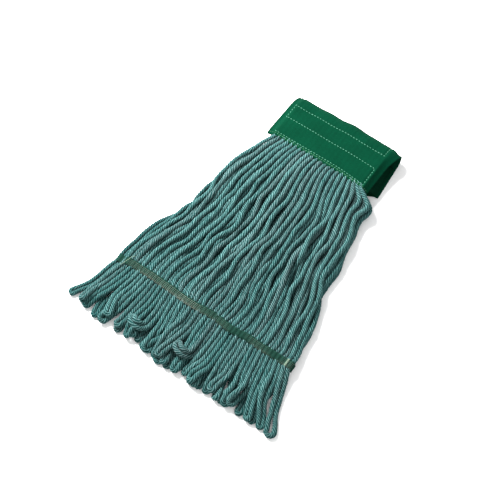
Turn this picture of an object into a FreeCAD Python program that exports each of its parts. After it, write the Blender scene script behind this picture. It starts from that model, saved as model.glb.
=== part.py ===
import FreeCAD, Part
import math
import os

# Looped-end wet mop head, folded at its wide headband and lying flat with its strands straight.
# Millimetres. +X runs across the mop, +Y along the strands towards the fold, +Z up from the floor.
# Every part is drawn with the fold's outer face at y = 0 and the strands towards -Y. The last step
# moves them all so that the middle of the footprint is at x = 0, y = 0.

# ---- headband: a wide tape and a lining with the yarn quilted between them, folded in half ----
band_width = 160.0          # across the mop
flap_depth = 67.5           # outer face of the fold to the hem, on each half
tape_thickness = 1.2        # outer tape, turned in at its edges
lining_thickness = 1.0      # inner tape, on the pocket side
fold_core = 6.8             # yarn between the tapes, pressed flat at the fold
edge_margin = 3.0           # tape beyond the yarn at each end of the headband
pocket_gap_at_hem = 0.8     # between the two linings at the hem

# ---- yarn ----
yarn_diameter = 5.2         # firm core of a strand, without its loose fibres
loop_spacing = 1.346        # at the hem, in yarn diameters. Each loop is two strands, one over the other
section_sides = 8
body_gap = 0.4              # between pieces that move against each other

# ---- tail band ----
skirt_length = 254.5        # hem to the middle of the tail band
strand_gap = 0.64           # between neighbours in the tail band
tail_step = 1.2             # outer strands above inner ones in the tail band
tail_tape_width = 10.5
tail_tape_thickness = 0.8
tail_tape_overhang = 1.5    # tape beyond the last strand at each end
half_gap = 0.4              # between the two halves where their tail bands lie on each other

# ---- fringe ----
fringe_length = 84.0        # lower edge of the tail band to the loop ends
fringe_wave = 4.0           # how much the loops differ in length
fan_angle = 19.0            # degrees, outermost loops
bend_steps = 5              # flats round the end of a loop
tip_gap = 0.6               # between the halves at the loop ends
pulled_loop_extra = 13.0    # the last loop is pulled out this much further
pulled_loop_radius = 5.4    # and its end is opened this wide

# ---- thread ----
thread_width = 0.8
thread_depth = 0.4          # sunk flush in the tape
quilt_first = 1.5           # first row of quilting, below the bend of the fold
quilt_second = 36.5         # second row, from the fold's outer face
quilt_third = 62.5          # third row, from the fold's outer face
quilt_left = 74.5           # left ends of the rows, from the middle
quilt_right = 65.5          # right ends of the rows, from the middle
hem_line = 65.4             # seam along the hem, from the fold's outer face
hem_seam_margin = 1.0       # from each end of the band
tail_rows = (-3.4, 0.0, 3.4)        # chain stitching, from the middle of the tail tape
tack_length = 8.4           # bar tack across the tail tape
tack_width = 1.8
tack_inset = 10.0           # from the end of the tail tape

# ---- worked out from the sizes above ----
yarn_radius = yarn_diameter / 2
loops_per_half = round((band_width - 2 * edge_margin) / (loop_spacing * yarn_diameter))
hem_core = 2 * yarn_diameter
half_at_hem = tape_thickness + hem_core + lining_thickness + pocket_gap_at_hem / 2
fold_outer = half_at_hem
fold_inner = fold_outer - tape_thickness - fold_core - lining_thickness
hem_mid = half_at_hem
outer_layer_at_hem = half_at_hem - tape_thickness - yarn_radius
inner_layer_at_hem = outer_layer_at_hem - yarn_diameter

tail_pitch = yarn_diameter + strand_gap
tail_inner_tape = half_gap / 2
inner_layer_at_tail = tail_inner_tape + tail_tape_thickness + yarn_radius
outer_layer_at_tail = inner_layer_at_tail + tail_step
tail_outer_tape = outer_layer_at_tail + yarn_radius
tail_mid = tail_outer_tape + tail_tape_thickness
tail_half_width = loops_per_half * tail_pitch + tail_tape_overhang

hem_pitch = (band_width - 2 * edge_margin - yarn_diameter) / (loops_per_half - 0.5)
skirt_start = flap_depth + body_gap
tail_start = flap_depth + skirt_length - tail_tape_width / 2
tail_end = tail_start + tail_tape_width
fringe_start = tail_end + body_gap
leg_spacing = tail_pitch * math.cos(math.radians(fan_angle))

FRONT = 1
BACK = -1


def point(x, y, z):
    return FreeCAD.Vector(x, y, z)


def block(x0, x1, near, far, z0, z1):
    """A box between two distances from the fold and two heights."""
    low = min(z0, z1)
    return Part.makeBox(x1 - x0, far - near, abs(z1 - z0), point(x0, -far, low))


def slab(half_width, profile):
    """A closed profile of (distance from the fold, height) corners, run across the mop."""
    corners = [point(-half_width, -distance, height) for distance, height in profile]
    face = Part.Face(Part.makePolygon(corners + corners[:1]))
    return face.extrude(point(2 * half_width, 0, 0))


def bend(x0, x1, inner, outer):
    """Half a ring round the fold, between two radii from the middle of the fold."""
    corners = [
        point(x0, -fold_outer, hem_mid + inner),
        point(x1, -fold_outer, hem_mid + inner),
        point(x1, -fold_outer, hem_mid + outer),
        point(x0, -fold_outer, hem_mid + outer),
    ]
    face = Part.Face(Part.makePolygon(corners + corners[:1]))
    return face.revolve(point(0, -fold_outer, hem_mid), point(1, 0, 0), -180)


def flap_layer(side, half_width, outer, inner_at_fold, inner_at_hem):
    """One layer of a flap: flat outside, sloping inside as the yarn fills out towards the hem."""
    return slab(half_width, [
        (fold_outer, hem_mid + side * outer[0]),
        (flap_depth, hem_mid + side * outer[1]),
        (flap_depth, hem_mid + side * inner_at_hem),
        (fold_outer, hem_mid + side * inner_at_fold),
    ])


# ---- headband ----

def quilting(side):
    """The sewing on a flap: one thread that runs back and forth in three rows."""
    z0 = hem_mid + side * fold_outer
    z1 = hem_mid + side * (fold_outer - thread_depth)
    half = thread_width / 2
    first = fold_outer + quilt_first
    second = quilt_second
    third = quilt_third
    runs = [
        block(quilt_right - half, quilt_right + half, fold_outer, first - half, z0, z1),
        block(-quilt_left - half, quilt_right + half, first - half, first + half, z0, z1),
        block(-quilt_left - half, -quilt_left + half, first + half, second - half, z0, z1),
        block(-quilt_left - half, quilt_right + half, second - half, second + half, z0, z1),
        block(quilt_right - half, quilt_right + half, second + half, third - half, z0, z1),
        block(-quilt_left - half, quilt_right + half, third - half, third + half, z0, z1),
    ]
    return runs[0].fuse(runs[1:]).removeSplitter()


def fold_quilting():
    """Where the same thread passes over the fold, from one flap to the other."""
    half = thread_width / 2
    return bend(quilt_right - half, quilt_right + half, fold_outer - thread_depth, fold_outer)


def hem_seam(side):
    z0 = hem_mid + side * fold_outer
    z1 = hem_mid + side * (fold_outer - thread_depth)
    half = thread_width / 2
    end = band_width / 2 - hem_seam_margin
    return block(-end, end, hem_line - half, hem_line + half, z0, z1)


def outer_tape(side):
    inside = fold_outer - tape_thickness
    tape = flap_layer(side, band_width / 2, (fold_outer, fold_outer), inside, inside)
    return tape.cut([quilting(side), hem_seam(side)])


def outer_tape_fold():
    half = band_width / 2
    return bend(-half, half, fold_outer - tape_thickness, fold_outer).cut(fold_quilting())


def yarn_core(side):
    outside = fold_outer - tape_thickness
    half = band_width / 2 - edge_margin
    return flap_layer(side, half, (outside, outside), outside - fold_core, outside - hem_core)


def yarn_core_fold():
    half = band_width / 2 - edge_margin
    outside = fold_outer - tape_thickness
    return bend(-half, half, outside - fold_core, outside)


def lining(side):
    at_fold = fold_inner + lining_thickness
    at_hem = pocket_gap_at_hem / 2 + lining_thickness
    return flap_layer(side, band_width / 2, (at_fold, at_hem), fold_inner, pocket_gap_at_hem / 2)


def lining_fold():
    half = band_width / 2
    return bend(-half, half, fold_inner, fold_inner + lining_thickness)


# ---- skirt of strands, hem to tail band ----

def section(x, distance, z):
    """The outline of a strand, with flats that measure the yarn's diameter across."""
    corner_radius = yarn_radius / math.cos(math.pi / section_sides)
    corners = []
    for k in range(section_sides + 1):
        angle = 2 * math.pi * (k + 0.5) / section_sides
        corners.append(point(
            x + corner_radius * math.cos(angle), -distance, z + corner_radius * math.sin(angle)))
    return Part.makePolygon(corners)


def strand(x_hem, z_hem, x_tail, z_tail):
    """Straight from the hem to the tail band, then level through it."""
    outlines = [
        section(x_hem, skirt_start, z_hem),
        section(x_tail, tail_start, z_tail),
        section(x_tail, tail_end, z_tail),
    ]
    return Part.makeLoft(outlines, True, True)


def strand_layer(side, layer_at_hem, layer_at_tail, place):
    """One layer of a half. place is 0 for the outer strand of each loop and 1 for the inner one."""
    strands = []
    for k in range(loops_per_half):
        x_hem = (k - (loops_per_half - 1) / 2 + (place - 0.5) / 2) * hem_pitch
        x_tail = (2 * k + place - (2 * loops_per_half - 1) / 2) * tail_pitch
        strands.append(strand(
            x_hem, hem_mid + side * layer_at_hem, x_tail, tail_mid + side * layer_at_tail))
    return Part.makeCompound(strands)


# ---- tail band ----

def tail_stitching(side):
    z0 = tail_mid + side * tail_mid
    z1 = tail_mid + side * (tail_mid - thread_depth)
    half = thread_width / 2
    middle = (tail_start + tail_end) / 2
    rows = []
    for offset in tail_rows:
        rows.append(block(-tail_half_width, tail_half_width - tack_inset - tack_width,
                          middle + offset - half, middle + offset + half, z0, z1))
    return Part.makeCompound(rows)


def bar_tack(side):
    z0 = tail_mid + side * tail_mid
    z1 = tail_mid + side * (tail_mid - thread_depth)
    middle = (tail_start + tail_end) / 2
    right = tail_half_width - tack_inset
    return block(right - tack_width, right, middle - tack_length / 2, middle + tack_length / 2, z0, z1)


def tail_tape_outer(side):
    z0 = tail_mid + side * tail_outer_tape
    z1 = tail_mid + side * tail_mid
    tape = block(-tail_half_width, tail_half_width, tail_start, tail_end, z0, z1)
    return tape.cut([tail_stitching(side), bar_tack(side)])


def tail_tape_inner(side):
    z0 = tail_mid + side * tail_inner_tape
    z1 = tail_mid + side * (tail_inner_tape + tail_tape_thickness)
    return block(-tail_half_width, tail_half_width, tail_start, tail_end, z0, z1)


# ---- fringe of loops ----

def ring(centre, along):
    """The outline of a strand across its own direction, which lies in the plane of the loop."""
    corner_radius = yarn_radius / math.cos(math.pi / section_sides)
    across = point(-along.y, along.x, 0)
    corners = []
    for k in range(section_sides + 1):
        angle = 2 * math.pi * (k + 0.5) / section_sides
        side_step = across * (corner_radius * math.cos(angle))
        corners.append(centre + side_step + point(0, 0, corner_radius * math.sin(angle)))
    return Part.makePolygon(corners)


def loop(length, end_radius):
    """Two legs joined by a round end, in the plane z = 0, from the origin towards -Y."""
    half = leg_spacing / 2
    centre_y = -(length - end_radius - yarn_radius)
    step = math.pi / (bend_steps + 1)
    corner = end_radius / math.cos(step / 2)
    path = [point(-half, 0, 0)]
    if end_radius > half:
        path.append(point(-half, centre_y * 0.7, 0))
    for k in range(bend_steps + 1):
        angle = math.pi + (k + 0.5) * step
        path.append(point(corner * math.cos(angle), centre_y + corner * math.sin(angle), 0))
    if end_radius > half:
        path.append(point(half, centre_y * 0.7, 0))
    path.append(point(half, 0, 0))
    spine = Part.makePolygon(path)
    return spine.makePipeShell([ring(path[0], point(0, -1, 0))], True, False, 1)


def fringe(side):
    """Loops that fan out from the tail band and settle towards the floor."""
    root_layer = (inner_layer_at_tail + outer_layer_at_tail) / 2
    root_z = tail_mid + side * root_layer
    tip_mid = yarn_diameter + tip_gap / 2
    tip_z = tip_mid + side * (tip_gap / 2 + yarn_radius)
    half_loop = leg_spacing / 2 + yarn_radius
    loops = []
    for k in range(loops_per_half):
        root_x = (2 * k + 0.5 - (2 * loops_per_half - 1) / 2) * tail_pitch
        turn = fan_angle * root_x / tail_half_width
        length = fringe_length + fringe_wave * math.sin(2.4 * k + side)
        end_radius = leg_spacing / 2
        if side == FRONT and k == loops_per_half - 1:
            length = fringe_length + pulled_loop_extra
            end_radius = pulled_loop_radius
        droop = math.degrees(math.asin((root_z - tip_z) / length))
        piece = loop(length, end_radius)
        piece.rotate(point(0, 0, 0), point(1, 0, 0), droop)
        piece.rotate(point(0, 0, 0), point(0, 0, 1), turn)
        set_back = fringe_start + half_loop * abs(math.sin(math.radians(turn)))
        set_back += yarn_radius * math.sin(math.radians(abs(droop)))
        piece.translate(point(root_x, -set_back, root_z))
        loops.append(piece)
    return Part.makeCompound(loops)


def mop_head():
    """Every node of the mop head, by name."""
    nodes = {
        "headband_outer_fold": outer_tape_fold(),
        "headband_lining_fold": lining_fold(),
        "yarn_core_fold": yarn_core_fold(),
        "quilting_thread_fold": fold_quilting(),
    }
    for name, side in (("front", FRONT), ("back", BACK)):
        nodes["headband_outer_" + name] = outer_tape(side)
        nodes["headband_lining_" + name] = lining(side)
        nodes["yarn_core_" + name] = yarn_core(side)
        nodes["quilting_thread_" + name] = quilting(side)
        nodes["hem_thread_" + name] = hem_seam(side)
        nodes["outer_strands_" + name] = strand_layer(side, outer_layer_at_hem, outer_layer_at_tail, 0)
        nodes["inner_strands_" + name] = strand_layer(side, inner_layer_at_hem, inner_layer_at_tail, 1)
        nodes["tail_tape_outer_" + name] = tail_tape_outer(side)
        nodes["tail_tape_inner_" + name] = tail_tape_inner(side)
        nodes["tail_stitching_" + name] = tail_stitching(side)
        nodes["tail_bar_tack_" + name] = bar_tack(side)
        nodes["fringe_loops_" + name] = fringe(side)
    return nodes


def main():
    nodes = mop_head()
    footprint = Part.makeCompound(list(nodes.values())).BoundBox
    to_middle = point(-footprint.Center.x, -footprint.Center.y, 0)
    os.makedirs("parts", exist_ok=True)
    for name, shape in nodes.items():
        shape.translate(to_middle)
        shape.exportStep("parts/" + name + ".step")
    print("fold face y", round(to_middle.y, 3), "middle of the band x", round(to_middle.x, 3))
    print("hem joints y", round(to_middle.y - skirt_start, 3), "fringe joints y",
          round(to_middle.y - fringe_start, 3))
    print("band height", round(2 * hem_mid, 3), "tail height", round(2 * tail_mid, 3))
    print("size", round(footprint.XLength, 2), round(footprint.YLength, 2), round(footprint.ZLength, 2),
          "lowest", round(footprint.ZMin, 4))


main()
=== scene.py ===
import math

import bpy
import numpy as np
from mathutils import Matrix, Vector


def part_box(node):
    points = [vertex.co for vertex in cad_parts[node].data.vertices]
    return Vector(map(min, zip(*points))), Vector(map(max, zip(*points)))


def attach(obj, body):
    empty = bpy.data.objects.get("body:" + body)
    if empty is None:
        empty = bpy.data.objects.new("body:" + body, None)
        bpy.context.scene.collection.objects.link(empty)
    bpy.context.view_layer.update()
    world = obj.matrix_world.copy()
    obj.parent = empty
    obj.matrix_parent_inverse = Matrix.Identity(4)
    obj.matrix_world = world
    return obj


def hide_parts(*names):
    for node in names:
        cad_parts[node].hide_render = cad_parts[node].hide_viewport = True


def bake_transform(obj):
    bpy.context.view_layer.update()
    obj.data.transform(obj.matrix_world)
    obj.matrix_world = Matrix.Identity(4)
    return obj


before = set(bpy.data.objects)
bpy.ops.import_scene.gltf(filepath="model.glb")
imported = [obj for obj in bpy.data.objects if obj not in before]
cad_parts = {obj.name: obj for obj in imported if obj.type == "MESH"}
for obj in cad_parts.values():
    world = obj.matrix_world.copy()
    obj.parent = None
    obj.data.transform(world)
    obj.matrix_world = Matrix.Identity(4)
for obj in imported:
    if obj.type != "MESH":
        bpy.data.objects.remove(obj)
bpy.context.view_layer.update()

bl_info = {
    "name": "Looped-end mop head",
    "version": (1, 0, 0),
    "blender": (4, 5, 0),
    "location": "3D View > Sidebar > Mop head",
    "description": "Dresses the packed mop head: headband, yarn, tail bands, stitching and stage",
    "category": "Add Mesh",
}

MM = 0.001
FRONT = 1
BACK = -1
SIDES = ((FRONT, "front"), (BACK, "back"))


# ---------------------------------------------------------------- places, in millimetres, from the frame

def span(node):
    """Lowest and highest corner of a node of the frame, in millimetres."""
    low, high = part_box(node)
    return np.array(low) / MM, np.array(high) / MM


FLAP_LOW, FLAP_HIGH = span("headband_outer_front")
FOLD_LOW, FOLD_HIGH = span("headband_outer_fold")
LINING_LOW, LINING_HIGH = span("headband_lining_fold")
TAIL_LOW, TAIL_HIGH = span("tail_tape_outer_front")
BAND_MIDDLE = (FLAP_LOW[0] + FLAP_HIGH[0]) / 2
BAND_HALF = (FLAP_HIGH[0] - FLAP_LOW[0]) / 2
FOLD_RADIUS = (FOLD_HIGH[2] - FOLD_LOW[2]) / 2
FOLD_Y = FLAP_HIGH[1]
FOLD_Z = (FOLD_HIGH[2] + FOLD_LOW[2]) / 2
HEM_Y = FLAP_LOW[1]
FLAP_FLAT = FOLD_Y - HEM_Y
POCKET_RADIUS = (LINING_HIGH[2] - LINING_LOW[2]) / 2 - 1.0
TAIL_MID_Z = TAIL_HIGH[2] / 2
TAIL_Y = (TAIL_LOW[1] + TAIL_HIGH[1]) / 2
TAIL_HALF_LENGTH = (TAIL_HIGH[0] - TAIL_LOW[0]) / 2
RING_CORNERS = 8                  # round one strand of the frame


def strand_ends(node):
    """Centres (x, z) of a node's strands at the hem and at the tail band, left to right."""
    corners = np.array([v.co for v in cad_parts[node].data.vertices]) / MM
    corners = np.unique(np.round(corners, 3), axis=0)
    ends = []
    for y in (corners[:, 1].max(), corners[:, 1].min()):
        ring = corners[np.abs(corners[:, 1] - y) < 0.01]
        ring = ring[np.argsort(ring[:, 0])].reshape(-1, RING_CORNERS, 3)
        ends.append(ring.mean(axis=1)[:, [0, 2]])
    return ends


# ---------------------------------------------------------------- settings

class YarnSettings(bpy.types.PropertyGroup):
    radius: bpy.props.FloatProperty(
        name="Yarn radius", description="Half the thickness of a loose strand",
        default=3.4 * MM, unit="LENGTH")
    pitch: bpy.props.FloatProperty(
        name="Twist", description="Length of yarn in which a ply goes once round",
        default=18.0 * MM, unit="LENGTH")
    ring_step: bpy.props.FloatProperty(
        name="Ring step", description="Distance between the rings of a strand's mesh",
        default=1.2 * MM, unit="LENGTH")
    ply_depth: bpy.props.FloatProperty(
        name="Ply depth", description="How far the grooves between the plies go in, as a share of the radius",
        default=0.34, min=0, max=0.6, subtype="FACTOR")
    lumps: bpy.props.FloatProperty(
        name="Lumps", description="How uneven the spun surface is", default=1.5 * MM, unit="LENGTH")
    sway: bpy.props.FloatProperty(
        name="Sway", description="How far bundles of strands wander together",
        default=1.6 * MM, unit="LENGTH")
    crimp: bpy.props.FloatProperty(
        name="Crimp", description="How far each strand waves by itself",
        default=1.5 * MM, unit="LENGTH")
    fan: bpy.props.FloatProperty(
        name="Fan", description="How far the outermost loops turn outwards below the tail band",
        default=math.radians(21), subtype="ANGLE")
    seed: bpy.props.IntProperty(
        name="Seed", description="Picks one of many ways for the yarn to lie", default=7)


class BandSettings(bpy.types.PropertyGroup):
    thickness: bpy.props.FloatProperty(
        name="Tape thickness", description="Thickness of the headband's tape", default=1.1 * MM, unit="LENGTH")
    stitch: bpy.props.FloatProperty(
        name="Stitch", description="Length of one stitch of the quilting", default=4.3 * MM, unit="LENGTH")
    chain: bpy.props.FloatProperty(
        name="Chain stitch", description="Length of one stitch of the tail band", default=2.4 * MM,
        unit="LENGTH")


class ColourSettings(bpy.types.PropertyGroup):
    # Crest colour: the yarn's own teal, lifted towards white by painted highlight of fibres catching the light
    yarn: bpy.props.FloatVectorProperty(
        name="Yarn", description="Colour of the fibres that stand out on most strands", subtype="COLOR", size=3,
        default=(0.098, 0.202, 0.197))
    # Painted shade: the dark colour that the yarn's finish paints into the grooves between plies and low down
    # in the pile
    yarn_painted_shade: bpy.props.FloatVectorProperty(
        name="Deep yarn", description="Colour down between the plies", subtype="COLOR", size=3,
        default=(0.0003, 0.0255, 0.0245))
    yarn_grey: bpy.props.FloatVectorProperty(
        name="Greyer yarn", description="Colour that some strands fade towards", subtype="COLOR", size=3,
        default=(0.112, 0.172, 0.172))
    tape: bpy.props.FloatVectorProperty(
        name="Headband", description="Colour of the headband's tape", subtype="COLOR", size=3,
        default=(0.0004, 0.0295, 0.0137))
    tail_tape: bpy.props.FloatVectorProperty(
        name="Tail band", description="Colour of the tail band's tape", subtype="COLOR", size=3,
        default=(0.0072, 0.0292, 0.0210))
    quilting: bpy.props.FloatVectorProperty(
        name="Quilting thread", description="Colour of the quilting thread", subtype="COLOR", size=3,
        default=(0.100, 0.300, 0.200))
    hem: bpy.props.FloatVectorProperty(
        name="Hem thread", description="Colour of the seam along the hem", subtype="COLOR", size=3,
        default=(0.030, 0.095, 0.048))
    chain: bpy.props.FloatVectorProperty(
        name="Chain thread", description="Colour of the stitching on the tail band", subtype="COLOR", size=3,
        default=(0.175, 0.190, 0.160))
    tack: bpy.props.FloatVectorProperty(
        name="Bar tack", description="Colour of the bar tacks and loose thread", subtype="COLOR", size=3,
        default=(0.17, 0.24, 0.18))


class StageSettings(bpy.types.PropertyGroup):
    azimuth: bpy.props.FloatProperty(
        name="Azimuth", description="Camera angle round the mop head, 0 looks along +Y",
        default=math.radians(34.7), subtype="ANGLE")
    elevation: bpy.props.FloatProperty(
        name="Elevation", description="Camera angle above the floor", default=math.radians(63.7),
        subtype="ANGLE")
    distance: bpy.props.FloatProperty(
        name="Distance", description="From the camera to the point that it looks at", default=1.8,
        unit="LENGTH")
    lens: bpy.props.FloatProperty(
        name="Lens", description="Focal length on a 36 mm sensor, in millimetres", default=101.4)


# ---------------------------------------------------------------- meshes

def new_object(name, data):
    made = bpy.data.objects.new(name, data)
    bpy.context.scene.collection.objects.link(made)
    return made


def modelled(name, source):
    """The evaluated source as a plain mesh object, in place of the source."""
    shape = bpy.data.meshes.new_from_object(source.evaluated_get(bpy.context.evaluated_depsgraph_get()))
    bpy.data.objects.remove(source)
    shape.name = name
    return new_object(name, shape)


def curves(name, paths, radii=None):
    """Open poly lines through paths of points in millimetres."""
    data = bpy.data.curves.new(name, "CURVE")
    data.dimensions = "3D"
    for k, path in enumerate(paths):
        spline = data.splines.new("POLY")
        spline.points.add(len(path) - 1)
        points = np.ones((len(path), 4))
        points[:, :3] = np.asarray(path) * MM
        spline.points.foreach_set("co", points.ravel())
        if radii is not None:
            spline.points.foreach_set("radius", radii[k])
    return new_object(name, data)


def eased(path, parts):
    """A smooth path through the given points, with parts steps from each to the next."""
    path = np.asarray(path, float)
    ends = np.vstack([2 * path[0] - path[1], path, 2 * path[-1] - path[-2]])
    before, start, end, after = ends[:-3], ends[1:-2], ends[2:-1], ends[3:]
    rows = []
    for k in range(parts):
        t = k / parts
        rows.append(0.5 * (2 * start + (end - before) * t
                           + (2 * before - 5 * start + 4 * end - after) * t ** 2
                           + (3 * start - before - 3 * end + after) * t ** 3))
    inside = np.stack(rows, axis=1).reshape(-1, path.shape[1])
    return np.vstack([inside, path[-1:]])


def cut_size(points):
    """Width and length of the flat sheet, in metres, that lies along points[row, column]."""
    steps = (np.linalg.norm(np.diff(points, axis=axis), axis=2).sum(axis=axis) for axis in (1, 0))
    return tuple(float(along.mean() * MM) for along in steps)


def cloth(name, points, flat, thickness, material):
    """A sheet of cloth: points[row, column] in millimetres, flat[row, column] its place in the cut sheet.
    Rows and columns run so that the sheet's outer face is to their right-hand side."""
    rows, columns = points.shape[:2]
    index = np.arange(rows * columns).reshape(rows, columns)
    faces = np.stack([index[:-1, :-1], index[:-1, 1:], index[1:, 1:], index[1:, :-1]], axis=-1).reshape(-1, 4)
    shape = bpy.data.meshes.new(name)
    shape.from_pydata((points.reshape(-1, 3) * MM).tolist(), [], faces.tolist())
    layer = shape.uv_layers.new(name="cut")
    layer.data.foreach_set("uv", (flat.reshape(-1, 2)[faces.ravel()] * MM).ravel())
    shape.materials.append(material)
    sheet = new_object(name, shape)
    solid = sheet.modifiers.new("thickness", "SOLIDIFY")
    solid.thickness = thickness
    solid.offset = -1
    solid.use_even_offset = False
    made = modelled(name, sheet)
    made.data.shade_smooth()
    cut_size(points)
    return made


def step(value, low, high):
    """0 below low, 1 above high, and a smooth turn between."""
    t = np.clip((value - low) / (high - low), 0, 1)
    return t * t * (3 - 2 * t)


# ---------------------------------------------------------------- node helpers

def add(tree, kind, settings=None, inputs=None):
    """A node with its settings, and with its inputs set to values or linked to sockets."""
    node = tree.nodes.new(kind)
    for name, value in (settings or {}).items():
        setattr(node, name, value)
    for name, value in (inputs or {}).items():
        if isinstance(value, bpy.types.NodeSocket):
            tree.links.new(value, node.inputs[name])
        else:
            node.inputs[name].default_value = value
    return node


def maths(tree, operation, *values):
    return add(tree, "ShaderNodeMath", {"operation": operation}, dict(enumerate(values))).outputs[0]


def noise(tree, place, scale, detail=2.0, roughness=0.5):
    return add(tree, "ShaderNodeTexNoise", None, {
        "Vector": place, "Scale": scale, "Detail": detail, "Roughness": roughness}).outputs["Fac"]


def new_group(name, kind, ins, out):
    """A node tree with one output. Labels of inputs and of the output go with their kinds."""
    tree = bpy.data.node_groups.new(name, kind)
    for label, socket in ins.items():
        tree.interface.new_socket(label, in_out="INPUT", socket_type="NodeSocket" + socket)
    tree.interface.new_socket(out[0], in_out="OUTPUT", socket_type="NodeSocket" + out[1])
    return tree, tree.nodes.new("NodeGroupInput").outputs, tree.nodes.new("NodeGroupOutput").inputs


def apply_tree(target, tree, values):
    """Adds the tree as a modifier, with its inputs set by their labels' identifiers."""
    modifier = target.modifiers.new(tree.name, "NODES")
    modifier.node_group = tree
    for item in tree.interface.items_tree:
        if item.item_type == "SOCKET" and item.in_out == "INPUT" and item.name in values:
            modifier[item.identifier] = values[item.name]


def stored(tree, geometry, name, value, domain="POINT"):
    return add(tree, "GeometryNodeStoreNamedAttribute", {"data_type": "FLOAT", "domain": domain},
               {"Geometry": geometry, "Name": name, "Value": value}).outputs[0]


def end_tree(tree, geometry, given, result):
    """Ends a tree with real geometry in its material."""
    real = add(tree, "GeometryNodeRealizeInstances", None, {"Geometry": geometry})
    painted = add(tree, "GeometryNodeSetMaterial", None,
                  {"Geometry": real.outputs[0], "Material": given["Material"]})
    tree.links.new(painted.outputs[0], result["Geometry"])
    return tree


def yarn_tree():
    """Sweeps a plied outline along each line, turning as it goes."""
    tree, given, result = new_group("Plied yarn", "GeometryNodeTree", {
        "Geometry": "Geometry", "Radius": "Float", "Twist": "Float", "Ring step": "Float", "Ply depth": "Float",
        "Lumps": "Float", "Plies": "Int", "Outline points": "Int", "Seed": "Int", "Material": "Material",
    }, ("Geometry", "Geometry"))
    rings = add(tree, "GeometryNodeResampleCurve", {"mode": "LENGTH"},
                {"Curve": given["Geometry"], "Length": given["Ring step"]})
    place = add(tree, "GeometryNodeSplineParameter")
    picked = add(tree, "FunctionNodeRandomValue", {"data_type": "FLOAT"},
                 {"ID": add(tree, "GeometryNodeInputIndex").outputs[0], "Seed": given["Seed"]})
    toned = stored(tree, rings.outputs[0], "tone", picked.outputs["Value"], "CURVE")
    tone = add(tree, "GeometryNodeInputNamedAttribute", {"data_type": "FLOAT"}, {"Name": "tone"})
    along = stored(tree, toned, "along", place.outputs["Length"])
    start = maths(tree, "MULTIPLY", tone.outputs["Attribute"], 40.0)
    turns = maths(tree, "DIVIDE", place.outputs["Length"], given["Twist"])
    uneven = add(tree, "ShaderNodeTexNoise", {"noise_dimensions": "1D"},
                 {"W": maths(tree, "MULTIPLY_ADD", turns, 0.9, start), "Scale": 1.0, "Detail": 1.0})
    turns = maths(tree, "MULTIPLY_ADD", uneven.outputs["Fac"], 0.55, turns)
    turned = maths(tree, "MULTIPLY", maths(tree, "ADD", turns, start), -2 * math.pi)
    tilted = add(tree, "GeometryNodeSetCurveTilt", None, {"Curve": along, "Tilt": turned})
    circle = add(tree, "GeometryNodeCurvePrimitiveCircle", None,
                 {"Resolution": given["Outline points"], "Radius": given["Radius"]})
    round_place = add(tree, "GeometryNodeSplineParameter")
    angle = maths(tree, "MULTIPLY", round_place.outputs["Factor"], given["Plies"])
    wave = maths(tree, "COSINE", maths(tree, "MULTIPLY", angle, 2 * math.pi))
    groove = maths(tree, "POWER", maths(tree, "MULTIPLY_ADD", wave, 0.5, 0.5), 1.5)
    crest = maths(tree, "SUBTRACT", 1.0, groove)
    size = maths(tree, "SUBTRACT", 1.0, maths(tree, "MULTIPLY", given["Ply depth"],
                                              maths(tree, "SUBTRACT", 1.0, crest)))
    position = add(tree, "GeometryNodeInputPosition")
    scaled = add(tree, "ShaderNodeVectorMath", {"operation": "SCALE"},
                 {0: position.outputs[0], "Scale": size})
    outline = add(tree, "GeometryNodeSetPosition", None,
                  {"Geometry": circle.outputs[0], "Position": scaled.outputs[0]})
    plied = stored(tree, stored(tree, outline.outputs[0], "crest", crest), "ply", maths(tree, "FLOOR", angle))
    swept = add(tree, "GeometryNodeCurveToMesh", None, {
        "Curve": tilted.outputs[0], "Profile Curve": plied, "Fill Caps": True,
        "Scale": add(tree, "GeometryNodeInputRadius").outputs[0]})
    lumps = noise(tree, add(tree, "GeometryNodeInputPosition").outputs[0], 430.0, 1.0)
    push = maths(tree, "MULTIPLY", maths(tree, "SUBTRACT", lumps, 0.5), given["Lumps"])
    offset = add(tree, "ShaderNodeVectorMath", {"operation": "SCALE"},
                 {0: add(tree, "GeometryNodeInputNormal").outputs[0], "Scale": push})
    lumpy = add(tree, "GeometryNodeSetPosition", None,
                {"Geometry": swept.outputs[0], "Offset": offset.outputs[0]})
    smooth = add(tree, "GeometryNodeSetShadeSmooth", None, {"Geometry": lumpy.outputs[0]})
    return end_tree(tree, smooth.outputs[0], given, result)


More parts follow.
